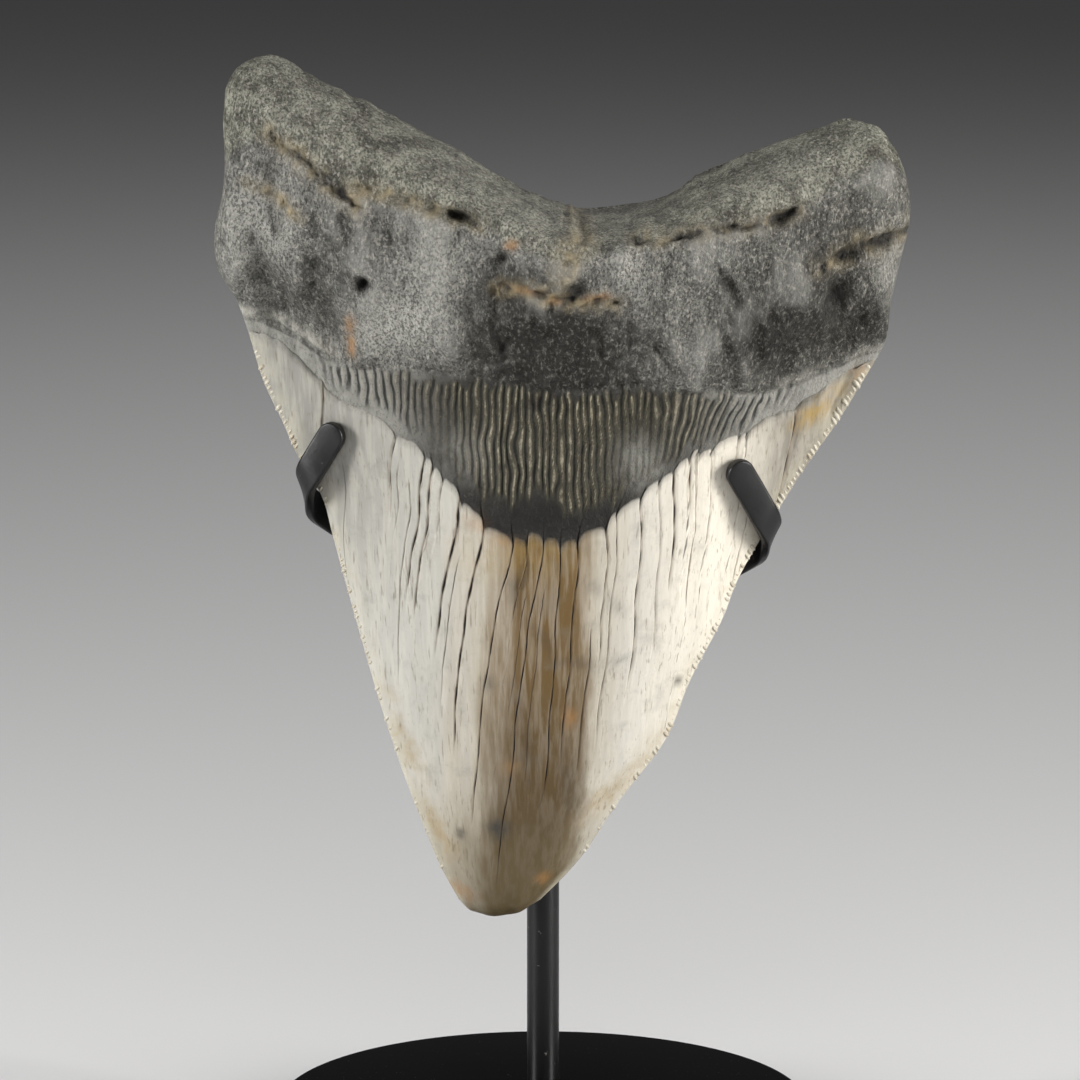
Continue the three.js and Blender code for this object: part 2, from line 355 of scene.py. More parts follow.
def along(points, shares):
    """Places on a smooth curve through the points, at shares of its length."""
    points = np.array(points, float)
    ends = np.vstack([points[:1], points, points[-1:]])
    x = np.linspace(0, 1, 24, endpoint=False)[:, None]
    runs = []
    for before, a, b, after in zip(ends[:-3], ends[1:-2], ends[2:-1], ends[3:]):
        out, into = (b - before) / 2, (after - a) / 2
        runs.append(a + out * x + (3 * (b - a) - 2 * out - into) * x**2 + (out + into - 2 * (b - a)) * x**3)
    line = np.vstack([*runs, points[-1:]])
    size = min(points.shape[1], 3)
    run = np.concatenate([[0], np.cumsum(np.linalg.norm(np.diff(line[:, :size], axis=0), axis=1))])
    return np.stack([np.interp(shares * run[-1], run, column) for column in line.T], -1), run[-1]


def in_frame(across, up, out):
    """Points of the tooth's own frame, in millimetres, as places in metres."""
    return np.stack([across + TIP_ACROSS, EDGE_PLANE - np.asarray(out), up + TIP_HEIGHT], -1) * MM


def rounded_section(steps=5):
    """The strip's section as (across, out) from -1 to 1, with a share of the corner radius still to add."""
    turns = np.linspace(0, math.pi / 2, steps)
    corners = []
    for side_a, side_b, start in ((1, -1, -1), (1, 1, 0), (-1, 1, 1), (-1, -1, 2)):
        for turn in turns + start * math.pi / 2:
            corners.append((side_a, side_b, math.cos(turn), math.sin(turn)))
    return np.array(corners)


def bent_strip(name, points, away):
    """A flat strip along the arm's centre line, with eased edges and a round end."""
    half = STRIP_WIDTH / 2
    _, length = along(points, np.array([0.0]))
    body = np.linspace(0, 1 - half / length, ARM_STEPS)
    tip = 1 - (half / length) * (1 - np.sin(np.linspace(0, math.pi / 2, 14)[1:]))
    shares = np.concatenate([[0, 0.1 / length, 0.35 / length], body[1:], tip])
    line, _ = along(points, shares)
    centres = in_frame(*line[:, :3].T) / MM
    tangents = np.gradient(centres, shares, axis=0)
    tangents /= np.linalg.norm(tangents, axis=1)[:, None]
    turn = np.radians(line[:, 3:])
    outer = np.cos(turn) * np.array([0, 1, 0]) + np.sin(turn) * np.array(away)
    outer -= (outer * tangents).sum(1)[:, None] * tangents
    outer /= np.linalg.norm(outer, axis=1)[:, None]
    side = np.cross(tangents, outer)
    past = np.clip((shares - (1 - half / length)) * length / half, 0, 1)
    wide = half * np.sqrt(np.clip(1 - past**2, 0, 1))
    end_ease = np.array([STRIP_EDGE, 0.12, 0.0] + [0.0] * (len(shares) - 3))
    section = rounded_section()
    rings = []
    for centre, sideways, out, w, inset in zip(centres, side, outer, wide, end_ease):
        w = max(w, 0.02)
        edge = min(STRIP_EDGE, w)
        thick = STRIP_THICKNESS / 2 - (STRIP_EDGE - edge) * 0.9
        x = section[:, 0] * (w - edge - inset * 0.5) + section[:, 2] * edge
        y = section[:, 1] * (thick - min(edge, STRIP_EDGE) - inset * 0.5) + section[:, 3] * edge
        rings.append(centre + x[:, None] * sideways + y[:, None] * out)
    count = len(section)
    verts = np.concatenate(rings) * MM
    faces = [list(range(count))[::-1], [len(verts) - count + i for i in range(count)]]
    for ring in range(len(rings) - 1):
        for i in range(count):
            j = (i + 1) % count
            a, b = ring * count + i, ring * count + j
            faces.append([a, b, b + count, a + count])
    return placed(name, verts, faces)


LEFT_AWAY = (-0.92, 0, -0.38)
RIGHT_AWAY = (0.87, 0, -0.5)
for name, node, points, away in (
    ("prong_arm_left", "arm_left", LEFT_ARM, LEFT_AWAY),
    ("prong_arm_right", "arm_right", RIGHT_ARM, RIGHT_AWAY),
):
    arm = bent_strip(name, points, away)
    satin.give(arm)
    finished(arm, node)


# ---- Braze beads
# Brass run in along both edges of each arm where it crosses the rod. It set in small overlapping drops that
# bridge the gap between flat and round, and was sprayed over with the steel.

BEAD_REACH = 1.9
BEAD_PITCH = 0.6
BEAD_OVER = 0.22


class Shape(Tree):
    """A Geometry Nodes tree with named inputs. apply makes the object's mesh the plain result."""

    def __init__(self, name, **sizes):
        self.group = bpy.data.node_groups.new(name, "GeometryNodeTree")
        super().__init__(self.group)
        face = self.group.interface
        face.new_socket("Geometry", in_out="INPUT", socket_type="NodeSocketGeometry")
        self.sizes = {}
        for key, value in sizes.items():
            kind = "NodeSocketInt" if isinstance(value, int) else "NodeSocketFloat"
            socket = face.new_socket(key, in_out="INPUT", socket_type=kind)
            self.sizes[socket.identifier] = value
        face.new_socket("Geometry", in_out="OUTPUT", socket_type="NodeSocketGeometry")
        self.entry = self.made.nodes.new("NodeGroupInput")

    def given(self, name):
        return Wire(self, self.entry.outputs[name])

    def named(self, name, kind="FLOAT"):
        return self.node("GeometryNodeInputNamedAttribute", {"data_type": kind}, {"Name": name})

    def row(self, lump, least, most):
        """Dots a Pitch apart along the piece's edges to set the lump on, and its size there, at random."""
        line = self.node("GeometryNodeMeshToCurve", (), {"Mesh": self.given("Geometry")})
        spacing = {"Curve": line, "Length": self.given("Pitch")}
        dots = self.node("GeometryNodeResampleCurve", {"mode": "LENGTH"}, spacing)
        limits = {"Min_001": least, "Max_001": most, "Seed": self.given("Seed")}
        size = self.node("FunctionNodeRandomValue", {"data_type": "FLOAT"}, limits, out=1)
        return {"Points": dots, "Instance": lump, "Scale": size}

    def apply(self, result, piece, finish):
        real = self.node("GeometryNodeRealizeInstances", (), {"Geometry": result})
        painted = self.node("GeometryNodeSetMaterial", (), {"Geometry": real, "Material": finish.material})
        end = self.made.nodes.new("NodeGroupOutput")
        self.made.links.new(painted.socket, end.inputs[0])
        modifier = piece.modifiers.new("shape", "NODES")
        modifier.node_group = self.group
        for identifier, value in self.sizes.items():
            modifier[identifier] = value
        solid = bpy.data.meshes.new_from_object(piece.evaluated_get(bpy.context.evaluated_depsgraph_get()))
        piece.modifiers.clear()
        piece.data = solid
        piece.data.shade_smooth()


for name, points in (("braze_beads_left", LEFT_ARM), ("braze_beads_right", RIGHT_ARM)):
    (start_across, start_up, out, _), (next_across, next_up, _, _) = points[:2]
    slope = (next_up - start_up) / (next_across - start_across)
    strip_back = EDGE_PLANE - out + STRIP_THICKNESS / 2
    x = np.linspace(-BEAD_REACH, BEAD_REACH, 9)
    rod_front = -np.sqrt(ROD_RADIUS**2 - x**2)
    crossing = start_up + (x - TIP_ACROSS - start_across) * slope + TIP_HEIGHT
    bead_points, bead_lines = [], []
    for edge in (-1, 1):
        z = crossing + edge * STRIP_WIDTH / 2 * math.hypot(1, slope)
        bead_lines += [(len(bead_points) + i, len(bead_points) + i + 1) for i in range(len(x) - 1)]
        bead_points += (np.stack([x, (strip_back + rod_front) / 2, z], -1) * MM).tolist()
    braze = placed(name, bead_points, [], bead_lines)
    mark(braze, "drop_radius", np.tile((rod_front - strip_back) / 2 + BEAD_OVER, 2) * MM)
    drops = Shape(name, Pitch=BEAD_PITCH * MM, Unevenness=0.25, Seed=2)
    drop = drops.node("GeometryNodeMeshUVSphere", (), {"Segments": 16, "Rings": 10, "Radius": 1.0})
    sockets = drops.row(drop, 1 - drops.given("Unevenness"), 1 + drops.given("Unevenness"))
    sockets["Scale"] = sockets["Scale"] * drops.named("drop_radius")
    row_of_drops = drops.node("GeometryNodeInstanceOnPoints", (), sockets)
    drops.apply(row_of_drops, braze, satin)
    finished(braze)


# ---- Tooth
# One fossil megalodon tooth: a worn grey root over a dark ribbed collar, and below them a thin enamel cap
# that has split lengthwise into planks. It grew as one piece. Its root was lumpy bone, and its two cutting
# edges are finely serrated.

# Outlines of the tooth seen from the front, as [across, up] in millimetres from its tip. NECK is the share
# of a side at which the cutting edge gives way to the root.
NECK = 0.7
LEFT_CUTTING_EDGE = [
    (-5.4, 2.9), (-8.8, 9.5), (-13.8, 22.6), (-18, 35.7), (-21.6, 48.7), (-25, 61.5), (-26.8, 68.4),
    (-30.3, 74.4), (-33.1, 80.8), (-36, 87.1), (-38, 94),
]
LEFT_ROOT_SIDE = [
    (-38, 94), (-40, 99.9), (-42.9, 105.3), (-43.3, 111), (-42.1, 116.5), (-41.6, 122), (-41.8, 128),
    (-41.4, 133.2),
]
RIGHT_CUTTING_EDGE = [
    (7.7, 2.9), (13.9, 9.5), (20.4, 19.3), (27.6, 29.2), (31.5, 38.9), (36.5, 48.7), (39.6, 56.5),
    (48.2, 71.2), (54.7, 80.8), (60.6, 90.6),
]
RIGHT_ROOT_SIDE = [
    (60.6, 90.6), (62.1, 94.2), (62.7, 99.9), (64, 106.2), (65.4, 112.5), (65.2, 118), (63.4, 123.4),
]
TIP_ARC = [(-5.4, 2.9), (-3.1, 0.9), (0.6, 0), (4.3, 0.7), (7.7, 2.9)]
ROOT_TOP = [
    (-41.4, 133.2), (-39.8, 136.4), (-36.3, 138), (-33.2, 137.7), (-27.5, 134.7), (-18.1, 129.9),
    (-8.8, 124.6), (3.8, 117.5), (10, 114.9), (15, 114), (25.7, 115.5), (35.1, 120.5), (44.5, 124.3),
    (54, 127.6), (57.6, 127.8), (60.8, 126.5), (63.4, 123.4),
]

# Depth of the front and the back from the plane of the cutting edges, as [share up, millimetres].
BLADE = [(0, 1.2), (0.06, 3.2), (0.2, 6.2), (0.4, 8.8), (0.6, 10.4)]
FRONT_AT_MIDDLE = [*BLADE, (0.7, 11.2), (0.78, 14), (0.88, 18.5), (0.95, 19.5), (1, 18)]
FRONT_AT_LOBES = [*BLADE, (0.7, 10.8), (0.78, 12.2), (0.88, 14), (0.95, 13.5), (1, 12)]
BACK_DEPTH = [(0, 1), (0.06, 1.6), (0.3, 2.8), (0.5, 3.8), (0.7, 4.8), (0.85, 6.2), (1, 5.6)]

# Lines that cross the front, as [share across, share up]: the enamel's upper border, the collar's top and
# the brow of the root. On the back the enamel reaches higher, and the root is plain.
ENAMEL_BORDER = [
    (0, 0.706), (0.05, 0.675), (0.114, 0.622), (0.207, 0.607), (0.284, 0.589), (0.33, 0.562),
    (0.372, 0.537), (0.503, 0.533), (0.602, 0.552), (0.665, 0.579), (0.756, 0.612), (0.828, 0.613),
    (0.922, 0.625), (0.97, 0.672), (1, 0.7),
]
COLLAR_TOP = [
    (0, 0.722), (0.074, 0.678), (0.151, 0.666), (0.302, 0.704), (0.415, 0.729), (0.509, 0.748),
    (0.621, 0.748), (0.715, 0.704), (0.828, 0.664), (0.899, 0.656), (0.95, 0.672), (1, 0.712),
]
ROOT_BROW = [
    (0, 0.91), (0.105, 0.912), (0.186, 0.894), (0.33, 0.922), (0.418, 0.931), (0.504, 0.936),
    (0.613, 0.958), (0.693, 0.944), (0.832, 0.918), (0.93, 0.94), (1, 0.965),
]
BACK_BORDER = [(0, 0.706), (0.12, 0.7), (0.3, 0.672), (0.5, 0.655), (0.7, 0.668), (0.88, 0.692), (1, 0.7)]

# Long splits in the enamel, as [share across and up at the top, then at the bottom, width in millimetres].
SPLITS = [
    (0.219, 0.60, 0.148, 0.47, 0.28), (0.236, 0.57, 0.172, 0.45, 0.2), (0.273, 0.60, 0.158, 0.37, 0.32),
    (0.303, 0.585, 0.249, 0.47, 0.24), (0.335, 0.57, 0.222, 0.32, 0.32), (0.378, 0.54, 0.247, 0.20, 0.44),
    (0.438, 0.535, 0.307, 0.12, 0.46), (0.500, 0.535, 0.440, 0.05, 0.5), (0.532, 0.535, 0.588, 0.16, 0.38),
    (0.566, 0.54, 0.620, 0.22, 0.42), (0.598, 0.42, 0.653, 0.20, 0.32), (0.628, 0.56, 0.735, 0.23, 0.44),
    (0.669, 0.58, 0.805, 0.28, 0.44), (0.697, 0.585, 0.835, 0.33, 0.32), (0.722, 0.60, 0.834, 0.40, 0.32),
    (0.745, 0.61, 0.808, 0.50, 0.24), (0.787, 0.61, 0.871, 0.47, 0.24), (0.83, 0.605, 0.876, 0.53, 0.2),
]
FINE_SPLITS = 34
SPLIT_DEPTH = 0.5
LEAST_GAP = 0.004

FRONT_COLUMNS, BACK_COLUMNS = 400, 100
MIDDLE_COLUMN = FRONT_COLUMNS // 2
ROWS = (70, 36, 46, 26)
RIB_SPACING = 1.22
RIB_HEIGHT = 0.34


def through(pairs, x):
    """A smooth curve through [x, y] pairs."""
    at, value = np.array(pairs).T
    slope = np.concatenate([
        [(value[1] - value[0]) / (at[1] - at[0])],
        (value[2:] - value[:-2]) / (at[2:] - at[:-2]),
        [(value[-1] - value[-2]) / (at[-1] - at[-2])],
    ])
    i = np.clip(np.searchsorted(at, x, side="right") - 1, 0, len(at) - 2)
    gap = at[i + 1] - at[i]
    k = (x - at[i]) / gap
    rise = value[i + 1] - value[i]
    out, into = slope[i] * gap, slope[i + 1] * gap
    return value[i] + out * k + (3 * rise - 2 * out - into) * k**2 + (out + into - 2 * rise) * k**3


def smooth(start, end, x):
    k = np.clip((x - start) / (end - start), 0, 1)
    return k * k * (3 - 2 * k)


def bell(x, middle, width):
    return np.exp(-(((x - middle) / width) ** 2))


def side_line(cutting_edge, root_side, up):
    low, _ = along(cutting_edge, np.clip(up / NECK, 0, 1).ravel())
    high, _ = along(root_side, np.clip((up - NECK) / (1 - NECK), 0, 1).ravel())
    return np.where((up <= NECK).ravel()[:, None], low, high).reshape(*up.shape, 2)


def outline_patch(across, up):
    """Places [across, up] in millimetres inside the four borders, from shares across and up."""
    a, b = across[..., None], up[..., None]
    tip = along(TIP_ARC, across.ravel())[0].reshape(*across.shape, 2)
    top = along(ROOT_TOP, across.ravel())[0].reshape(*across.shape, 2)
    left = side_line(LEFT_CUTTING_EDGE, LEFT_ROOT_SIDE, up)
    right = side_line(RIGHT_CUTTING_EDGE, RIGHT_ROOT_SIDE, up)
    corners = [np.array(line[end]) for line in (TIP_ARC, ROOT_TOP) for end in (0, -1)]
    low = (1 - a) * corners[0] + a * corners[1]
    high = (1 - a) * corners[2] + a * corners[3]
    flat = (1 - b) * low + b * high
    return (1 - a) * left + a * right + (1 - b) * tip + b * top - flat


def rounded_past(start, up, power):
    past = np.clip((up - start) / (1 - start), 0, 1)
    return (1 - past**power) ** (1 / power)


def face_depth(across, up, front):
    """How far a face stands in front of the plane of the cutting edges."""
    off = 2 * across - 1
    rim = -1.2 * np.clip(1 - up / NECK, 0, 1) ** 2 + 1.5 * smooth(NECK, 0.8, up) * off**2
    rim = rim - 3.5 * smooth(0.85, 1, up) * (1 - off**2)
    to_root = smooth(NECK - 0.04, NECK + 0.08, up)
    power = (1.9 if front else 2.4) * (1 - to_root) + 3.2 * to_root
    fullness = np.clip(1 - np.abs(off) ** power, 0, 1) ** (1 - 0.5 * to_root)
    tip = np.sqrt(1 - np.clip(1 - up / 0.025, 0, 1) ** 2)
    if not front:
        return rim - (through(BACK_DEPTH, up) + rim) * fullness * rounded_past(0.9, up, 2) * tip
    lobes, middle = through(FRONT_AT_LOBES, up), through(FRONT_AT_MIDDLE, up)
    full = lobes + (middle - lobes) * bell(across, 0.53, 0.2)
    rounding = rounded_past(0.92 + 0.045 * bell(across, 0.53, 0.25), up, 1.8)
    return rim + (full - rim) * fullness * rounding * tip


def lumps(x, y, size, seed):
    """Smooth random heights from -1 to 1, about size apart."""
    table = np.random.default_rng(seed).random((97, 97)) * 2 - 1
    x, y = x / size + 200, y / size + 200
    i, j = np.floor(x).astype(int), np.floor(y).astype(int)
    p, q = x - i, y - j
    p, q = p * p * (3 - 2 * p), q * q * (3 - 2 * q)
    low = table[i % 97, j % 97] * (1 - p) + table[(i + 1) % 97, j % 97] * p
    high = table[i % 97, (j + 1) % 97] * (1 - p) + table[(i + 1) % 97, (j + 1) % 97] * p
    return low * (1 - q) + high * q


def all_splits():
    """The long splits and the fine ones between them, from left to right, as rows of SPLITS."""
    chance = np.random.default_rng(7)
    tops = [split[0] for split in SPLITS]
    taken = list(tops)
    leans = [(top_x - low_x) / (top_y - low_y) for top_x, top_y, low_x, low_y, _ in SPLITS]
    fine = []
    for place in np.sort(chance.uniform(0.1, 0.93, FINE_SPLITS)):
        if min(abs(place - other) for other in taken) < 0.011:
            continue
        taken.append(place)
        lean = float(np.interp(place, tops, leans))
        border = float(through(ENAMEL_BORDER, place))
        top = min(border + chance.uniform(-0.08, 0.04), border)
        fall = chance.uniform(0.1, 0.32)
        fine.append((place, top, place - lean * fall, top - fall, chance.uniform(0.16, 0.28)))
    return sorted([*SPLITS, *fine])


def split_columns(even, share, width_mm, held):
    """A row's shares across at a share of the way up the enamel, with five columns on each split, and the
    depth of the splits there."""
    chance = np.random.default_rng(11)
    columns_at, marks = [0], []
    for top_x, top_y, low_x, low_y, width in all_splits():
        phase = chance.uniform(0, 6.3, 3)
        border = float(through(ENAMEL_BORDER, top_x))
        height = share * border
        lean = (top_x - low_x) / (min(top_y, border) - low_y)
        place = top_x + lean * (height - border)
        place += 0.0007 * math.sin(height * 95 + phase[0]) + 0.0004 * math.sin(height * 310 + phase[1])
        column = max(int(np.argmin(np.abs(even - top_x))), columns_at[-1] + 5)
        columns_at.append(column)
        closing = smooth(top_y - 0.02, top_y, height) * (top_y < border - 0.02)
        strength = smooth(low_y, low_y + 0.07, height) * (1 - closing)
        marks.append((column, place, width, strength * (0.75 + 0.25 * math.sin(height * 130 + phase[2]))))
    places = np.array([0, *(place for _, place, _, _ in marks), 1])
    number = np.arange(len(places))
    places = np.clip(places, LEAST_GAP * number, 1 - LEAST_GAP * (len(places) - 1 - number))
    clear = np.maximum.accumulate(places)
    knots_at, knots_to, depth = [0], [0.0], np.zeros(len(even))
    for n, (column, place, width, strength) in enumerate(marks, 1):
        room = min(clear[n] - clear[n - 1], clear[n + 1] - clear[n])
        near = min(width * 0.36 / width_mm, 0.14 * room)
        for step, offset in ((-2, -2.3), (-1, -1), (0, 0), (1, 1), (2, 2.3)):
            knots_at.append(column + step)
            knots_to.append(clear[n] + offset * near)
        fits = min(1.0, room * width_mm / 0.6) * (1 - smooth(0.002, 0.006, abs(clear[n] - place)))
        depth[column] = strength * fits * min(1.0, width / 0.3)
    moved = np.interp(np.arange(len(even)), [*knots_at, len(even) - 1], [*knots_to, 1.0])
    return even + (moved - even) * held, depth * held


def front_columns():
    """Even columns, which crowd towards both sides where the face turns round."""
    side = 0.03 * np.linspace(0, 1, 13)[:-1] ** 2
    return np.concatenate([side, np.linspace(0.03, 0.97, FRONT_COLUMNS - 23), 1 - side[::-1]])


def row_heights(across, lines):
    """Shares up of every row at each place across: the rows keep to the lines."""
    enamel, collar, brow = lines
    stops = [np.zeros_like(across), enamel, collar, brow, np.ones_like(across)]
    rows = []
    for zone, count in enumerate(ROWS):
        share = np.arange(count) / count
        if zone == 0:
            share = share**1.2
        if zone == 3:
            share = 1 - (1 - share) ** 1.7
        for x in share:
            rows.append(stops[zone] + (stops[zone + 1] - stops[zone]) * x)
    return np.array([*rows, stops[-1]])


def plank_tops(across):
    """The enamel's upper border: each plank between two splits ends in its own blunt tongue."""
    base = through(ENAMEL_BORDER, across)
    open_above = [x for x, y, *_ in all_splits() if y > float(through(ENAMEL_BORDER, x)) - 0.03]
    tops = np.array([0.0, *open_above, 1.0])
    i = np.clip(np.searchsorted(tops, across, side="right") - 1, 0, len(tops) - 2)
    middle = (tops[i] + tops[i + 1]) / 2
    x = (across - middle) / (tops[i + 1] - tops[i]) * 2
    held = smooth(0.08, 0.16, across) * (1 - smooth(0.9, 0.95, across))
    uneven = np.random.default_rng(5).uniform(-0.008, 0.008, len(tops))[i]
    tongue = 0.6 * through(ENAMEL_BORDER, middle) + 0.4 * base + uneven - 0.012 * np.abs(x) ** 4
    return base + (tongue - base) * held + 0.0015 * lumps(across * 95, across * 0, 0.8, 3)


BORDER_WIDTH = 60.0
columns = front_columns()
at_border, _ = split_columns(columns, 1.0, BORDER_WIDTH, 1.0)
borders = (
    plank_tops(at_border),
    np.maximum(through(COLLAR_TOP, columns), through(ENAMEL_BORDER, columns) + 0.012),
    through(ROOT_BROW, columns) + 0.004 * lumps(columns * 95, columns * 0, 3.0, 8),
)
up = row_heights(columns, borders)
across = np.zeros_like(up)
split = np.zeros_like(up)
split_width = np.interp(up[:, MIDDLE_COLUMN], [0, 0.1, 0.5, 0.7, 1], [13, 33, 62, 90, 105])
for row in range(len(up)):
    held = 1 - smooth(0, 9, row - ROWS[0])
    share = min(1.0, float(up[row, MIDDLE_COLUMN] / borders[0][MIDDLE_COLUMN]))
    across[row], split[row] = split_columns(columns, share, float(split_width[row]), float(held))

# Hollows in the root, as [across, up, half width, half height, turn in degrees, depth, darkness].
HOLLOWS = [
    (-19.8, 103.9, 1.1, 1.1, 0, 2.2, 1.0), (-22.4, 105, 2.6, 1.8, -25, 0.5, 0.25),
    (13, 103.6, 2.0, 1.3, 0, 1.3, 1.0), (36.6, 104, 0.9, 2.6, 34, 1.1, 0.85),
    (54, 101.2, 1.9, 3.4, -10, 1.5, 0.85), (1, 95.4, 0.7, 3.0, 22, 0.7, 0.6),
    (2.4, 94.8, 0.5, 2.0, -28, 0.4, 0.3), (44.8, 114.5, 2.3, 1.0, 24, 1.6, 1.0),
    (-5.2, 115.1, 2.0, 0.9, -8, 1.5, 1.0), (-22.9, 118.5, 1.2, 0.6, -45, 1.0, 1.0),
    (1.7, 108.6, 1.2, 0.9, 30, 0.8, 0.7), (6.8, 84.7, 1.6, 1.3, 0, 0.4, 0.8),
    (29.5, 112, 1.8, 0.6, 10, 0.7, 0.6), (36.5, 113.2, 2.4, 0.8, 6, 0.9, 0.7),
    (60.6, 110.4, 1.5, 1.0, 30, 1.0, 1.0), (55.4, 107.8, 1.2, 0.8, 20, 0.9, 0.9),
    (50.6, 108.4, 1.5, 1.3, 0, 0.5, 0.5), (57.6, 97, 1.2, 0.8, 20, 0.5, 0.5),
    (26.5, 92.8, 0.5, 3.0, 32, 0.5, 0.4), (-37.2, 110, 0.6, 1.6, 10, 0.5, 0.4),
    (-27.5, 106.5, 0.5, 0.9, 0, 0.4, 0.4), (45, 95, 4.2, 6.0, -16, 0.6, 0.25),
    (21.5, 100, 3.0, 7.0, 6, 0.35, 0.15),
]
# Cracks of the root, as points [across, up], then half width, depth, darkness and the share of pale mineral
# in them.
ROOT_CRACKS = [
    ([(-34.4, 126.7), (-29, 123.2), (-24.8, 119.4), (-20.3, 116)], 0.5, 0.8, 0.75, 1.0),
    ([(-22.3, 119.4), (-14.7, 117.8), (-7.8, 115.6), (-2, 114)], 0.45, 0.6, 0.6, 0.9),
    ([(-38, 119.6), (-33, 116.8), (-29.3, 114)], 0.35, 0.4, 0.4, 1.0),
    ([(0.8, 103.4), (4, 104.4), (8.4, 103.1), (13.8, 102), (19.5, 102)], 0.5, 0.7, 0.8, 1.0),
    ([(22.5, 111.4), (32.2, 112.5), (39, 113), (47.4, 115.5)], 0.5, 0.7, 0.65, 0.6),
    ([(51.5, 106.5), (58.1, 109.7), (61.3, 110), (64.8, 111.5)], 0.7, 1.0, 0.9, 0.7),
    ([(13.8, 115.5), (14.3, 112), (12.2, 109.4), (11, 104.9)], 0.7, 0.35, 0.1, 1.0),
]
# Mineral stains, as [across, up, half width, half height, turn, strength]. The first two kinds are on root
# and enamel, the dark ones on the enamel.
ORANGE_STAINS = [
    (-21.9, 97.2, 0.9, 1.8, -12, 0.9), (-21.6, 93.6, 1.0, 1.7, 5, 1.0), (3.1, 110.8, 1.0, 0.8, 0, 1.0),
    (5.5, 104, 2.6, 0.5, -8, 0.7), (16.4, 102.7, 2.0, 0.7, 8, 0.8), (10.2, 102.4, 1.1, 0.5, 0, 0.7),
    (12.3, 34.3, 1.1, 1.5, 0, 0.8), (2.5, 26.1, 1.4, 1.1, 0, 0.45), (-4.7, 4.9, 2.4, 1.2, -30, 0.7),
    (8.1, 7.2, 1.2, 0.9, 20, 0.8), (-2.2, 66, 1.8, 1.6, 0, 0.55), (2, 63.2, 2.2, 0.9, 0, 0.5),
    (57.9, 88.9, 1.4, 1.2, 40, 0.8),
]
TAN_STAINS = [
    (51.5, 83, 4.6, 1.6, 33, 1.0), (13.2, 111, 1.8, 3.8, -22, 0.8), (14.3, 114.5, 2.2, 1.2, 40, 0.7),
    (-13.9, 29.4, 1.6, 8.0, 20, 0.45), (-8.3, 14.8, 1.6, 5.5, 28, 0.5), (23.5, 26.1, 1.6, 7.5, -34, 0.4),
    (17.2, 19.8, 1.6, 4, -38, 0.45), (3, 60.5, 10, 3.5, 0, 0.3),
]
DARK_STAINS = [
    (0.8, 15.7, 1.6, 1.6, 0, 0.85), (-5.1, 14.7, 0.8, 0.8, 0, 0.7), (29.5, 39, 0.8, 0.6, 0, 0.7),
    (-0.5, 40, 0.8, 1.4, 0, 0.4), (3.5, 54.5, 1.2, 3.2, 15, 0.3), (8, 47.4, 1.0, 3.4, 40, 0.3),
    (14, 43.2, 3.2, 0.8, -4, 0.32), (20, 43.3, 2.4, 0.7, 6, 0.3), (15.8, 55.8, 1.6, 1.1, -40, 0.28),
    (19.5, 52.6, 2.2, 0.9, -42, 0.28), (5, 33, 1.0, 7.0, 8, 0.25), (12, 24, 1.1, 6.0, 4, 0.25),
]
# Broad paler and darker areas of the root and collar, in the same form.
PALE_AREAS = [
    (-13, 97, 10, 5, 0, 0.9), (-36, 113, 6, 8, 0, 0.6), (-9, 106, 8, 7, 0, 0.4), (21, 105, 4, 8, 5, 0.5),
    (31, 98, 4, 7, 0, 0.3), (62, 106, 3, 10, 0, 0.4), (-2, 119, 13, 3, -22, 0.7),
    (16, 114.5, 14, 2.5, 5, 0.8), (-30, 130, 9, 5, -25, 0.5), (48, 121, 12, 4, 14, 0.6),
    (-3, 77, 3.5, 4, 20, 0.9), (23, 76, 4, 4, -30, 0.9), (-20, 84, 7, 3, -20, 0.5),
]
DARK_AREAS = [
    (9, 97, 16, 7, 0, 1.0), (-29, 101, 8, 4, -30, 0.5), (45, 96, 11, 8, 0, 1.0), (2, 105, 6, 3, 0, 0.6),
    (11, 89, 15, 5, 0, 0.9), (8, 67, 16, 5, 0, 1.0), (60, 97, 5, 5, 0, 0.7), (-20, 111, 5, 4, 0, 0.35),
    (53, 110, 6, 4, 10, 0.3),
]


def spread_over(u, v, blots, ragged=0.0):
    """Sum of soft oval blots at places u, v."""
    total = np.zeros_like(u)
    for number, (x, y, wide, high, turn, *amount) in enumerate(blots):
        c, s = math.cos(math.radians(turn)), math.sin(math.radians(turn))
        p, q = ((u - x) * c + (v - y) * s) / wide, ((v - y) * c - (u - x) * s) / high
        far = np.abs(np.hypot(p, q) + ragged * lumps(u, v, 0.9, number + 40))
        total += amount[-1] * np.exp(-(far**2.4))
    return total


def from_line(u, v, points):
    """Distance to a broken line through the points, with the noise that makes a crack jagged."""
    u, v = u + 0.45 * lumps(u, v, 1.3, 61), v + 0.45 * lumps(u, v, 1.1, 62)
    nearest = np.full_like(u, 1e3)
    for (ax, ay), (bx, by) in zip(points, points[1:]):
        run = np.clip(((u - ax) * (bx - ax) + (v - ay) * (by - ay)) / ((bx - ax) ** 2 + (by - ay) ** 2), 0, 1)
        nearest = np.minimum(nearest, np.hypot(u - ax - run * (bx - ax), v - ay - run * (by - ay)))
    return nearest


def face_grid(across, up, front):
    """Places of a face in the tooth's frame, in millimetres, with the way out of the face at each."""
    flat = outline_patch(across, up)
    grid = np.concatenate([flat, face_depth(across, up, front)[..., None]], -1)
    down, over = np.gradient(grid, axis=0), np.gradient(grid, axis=1)
    out = np.cross(over, down) * (1 if front else -1)
    out /= np.maximum(np.linalg.norm(out, axis=-1), 1e-9)[..., None]
    return grid, out


